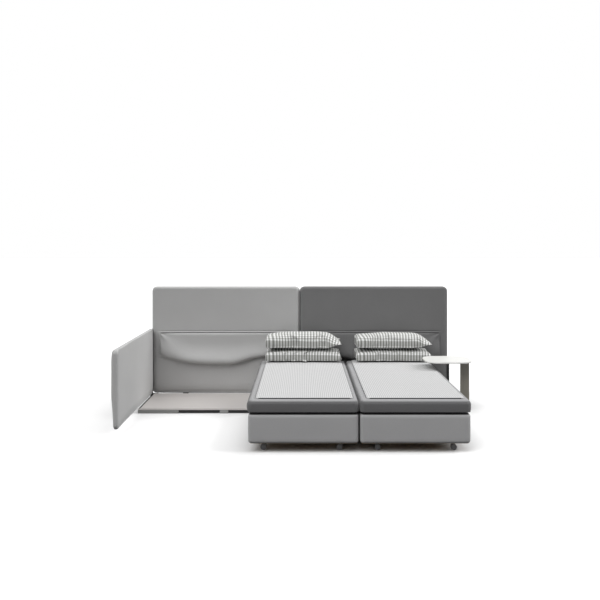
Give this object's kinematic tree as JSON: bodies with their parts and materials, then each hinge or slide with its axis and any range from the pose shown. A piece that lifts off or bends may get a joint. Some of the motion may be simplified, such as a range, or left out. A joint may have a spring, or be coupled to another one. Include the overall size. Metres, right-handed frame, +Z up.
{
  "type": "sofa bed",
  "caption": "Modular sofa bed: tall upholstered backs on low steel bases, rolling bed modules with mattresses and pillows, an arm panel and a swivel side table.",
  "frame": {"origin": "on the floor in the middle of the sofa, below the front face of the backs, where the plate that joins the two bases stands", "axes": "+X to the right along the backs, +Y towards the rear, +Z up; the beds point to -Y"},
  "size_m": [3.422, 2.2641, 1.22],
  "materials": {
    "light_cloth": "woven wool-like upholstery, light grey",
    "dark_cloth": "woven wool-like upholstery, dark grey",
    "mattress_cloth": "woven mattress cover, mid to dark grey",
    "pad_cloth": "fine white and grey checked cotton",
    "gingham": "grey and white gingham cotton",
    "timber": "planed spruce and plywood",
    "dark_painted_steel": "dark grey powder coat",
    "light_painted_steel": "light grey powder coat",
    "base_sheet": "greige powder coat, satin",
    "white_painted_steel": "off-white powder coat",
    "leg_painted_steel": "warm grey powder coat",
    "zinc": "zinc plated steel",
    "black_plastic": "matt black nylon",
    "grey_plastic": "grey nylon"
  },
  "bodies": {
    "root": {"base_top_left": "base_sheet", "base_top_right": "base_sheet", "base_frame_left": "dark_painted_steel", "base_frame_right": "dark_painted_steel", "base_feet": "light_painted_steel", "unit_link_plate": "dark_painted_steel", "base_fascia": "light_painted_steel", "end_posts": "dark_painted_steel", "back_uprights": "dark_painted_steel", "frame_bolts": "zinc", "back_frame_left": "timber", "back_frame_right": "timber", "back_front_left": "light_cloth", "back_front_right": "dark_cloth", "back_rear_left": "light_cloth", "back_rear_right": "dark_cloth", "back_pocket_left": "light_cloth", "back_pocket_right": "dark_cloth", "pocket_piping": "light_cloth", "pocket_zips": "black_plastic", "arm_hinge_fixed": "zinc", "table_leg": "leg_painted_steel", "table_bracket": "dark_painted_steel", "table_pivot_pin": "zinc"},
    "arm": {"arm_hinge_moving": "zinc", "arm_frame": "timber", "arm_inner_cover": "light_cloth", "arm_outer_cover": "light_cloth"},
    "table": {"table_bush": "leg_painted_steel", "table_top": "white_painted_steel"},
    "left_module": {"left_box_frame": "timber", "left_box_bottom": "timber", "left_box_cover": "light_cloth", "left_slats": "timber", "left_caster_plates": "zinc", "left_glides": "black_plastic", "left_mattress": "mattress_cloth", "left_mattress_pad": "pad_cloth", "left_pad_zip": "black_plastic"},
    "left_pillow_lower": {"left_pillow_lower": "gingham"},
    "left_pillow_upper": {"left_pillow_upper": "gingham"},
    "left_outer_caster_fork": {"left_outer_caster_fork": "grey_plastic"},
    "left_outer_caster_wheels": {"left_outer_caster_wheels": "grey_plastic"},
    "left_inner_caster_fork": {"left_inner_caster_fork": "grey_plastic"},
    "left_inner_caster_wheels": {"left_inner_caster_wheels": "grey_plastic"},
    "right_module": {"right_box_frame": "timber", "right_box_bottom": "timber", "right_box_cover": "light_cloth", "right_slats": "timber", "right_caster_plates": "zinc", "right_glides": "black_plastic", "right_mattress": "mattress_cloth", "right_mattress_pad": "pad_cloth", "right_pad_zip": "black_plastic"},
    "right_pillow_lower": {"right_pillow_lower": "gingham"},
    "right_pillow_upper": {"right_pillow_upper": "gingham"},
    "right_outer_caster_fork": {"right_outer_caster_fork": "grey_plastic"},
    "right_outer_caster_wheels": {"right_outer_caster_wheels": "grey_plastic"},
    "right_inner_caster_fork": {"right_inner_caster_fork": "grey_plastic"},
    "right_inner_caster_wheels": {"right_inner_caster_wheels": "grey_plastic"}
  },
  "joints": [
    {"name": "arm_panel_swing", "type": "hinge", "parent": "root", "child": "arm", "pos_m": [-1.683, 0.0135, 0.4], "axis": [0, 0, 1], "range_deg": [-90, 0]},
    {"name": "table_top_swivel", "type": "hinge", "parent": "root", "child": "table", "pos_m": [1.674, -0.67, 0.5], "axis": [0, 0, 1], "range_deg": [0, 180]},
    {"name": "left_module_roll", "type": "slide", "parent": "root", "child": "left_module", "axis": [0, -1, 0], "range_m": [0, 0.5]},
    {"name": "right_module_shift", "type": "slide", "parent": "root", "child": "right_module", "axis": [1, 0, 0], "range_m": [0, 0.2]},
    {"name": "left_pillow_lower_lift", "type": "slide", "parent": "left_module", "child": "left_pillow_lower", "axis": [0, 0, 1], "range_m": [0, 0.3]},
    {"name": "left_pillow_upper_lift", "type": "slide", "parent": "left_pillow_lower", "child": "left_pillow_upper", "axis": [0, 0, 1], "range_m": [0, 0.3]},
    {"name": "right_pillow_lower_lift", "type": "slide", "parent": "right_module", "child": "right_pillow_lower", "axis": [0, 0, 1], "range_m": [0, 0.3]},
    {"name": "right_pillow_upper_lift", "type": "slide", "parent": "right_pillow_lower", "child": "right_pillow_upper", "axis": [0, 0, 1], "range_m": [0, 0.3]},
    {"name": "left_outer_caster_swivel", "type": "hinge", "parent": "left_module", "child": "left_outer_caster_fork", "pos_m": [-0.277, -2.048, 0.06], "axis": [0, 0, 1], "continuous": true},
    {"name": "left_outer_caster_roll", "type": "hinge", "parent": "left_outer_caster_fork", "child": "left_outer_caster_wheels", "pos_m": [-0.293, -2.048, 0.025], "axis": [0, 1, 0], "continuous": true},
    {"name": "left_inner_caster_swivel", "type": "hinge", "parent": "left_module", "child": "left_inner_caster_fork", "pos_m": [0.351, -2.048, 0.06], "axis": [0, 0, 1], "continuous": true},
    {"name": "left_inner_caster_roll", "type": "hinge", "parent": "left_inner_caster_fork", "child": "left_inner_caster_wheels", "pos_m": [0.335, -2.048, 0.025], "axis": [0, 1, 0], "continuous": true},
    {"name": "right_inner_caster_swivel", "type": "hinge", "parent": "right_module", "child": "right_inner_caster_fork", "pos_m": [0.634, -2.048, 0.06], "axis": [0, 0, 1], "continuous": true},
    {"name": "right_inner_caster_roll", "type": "hinge", "parent": "right_inner_caster_fork", "child": "right_inner_caster_wheels", "pos_m": [0.65, -2.048, 0.025], "axis": [0, 1, 0], "continuous": true},
    {"name": "right_outer_caster_swivel", "type": "hinge", "parent": "right_module", "child": "right_outer_caster_fork", "pos_m": [1.262, -2.048, 0.06], "axis": [0, 0, 1], "continuous": true},
    {"name": "right_outer_caster_roll", "type": "hinge", "parent": "right_outer_caster_fork", "child": "right_outer_caster_wheels", "pos_m": [1.278, -2.048, 0.025], "axis": [0, 1, 0], "continuous": true}
  ]
}
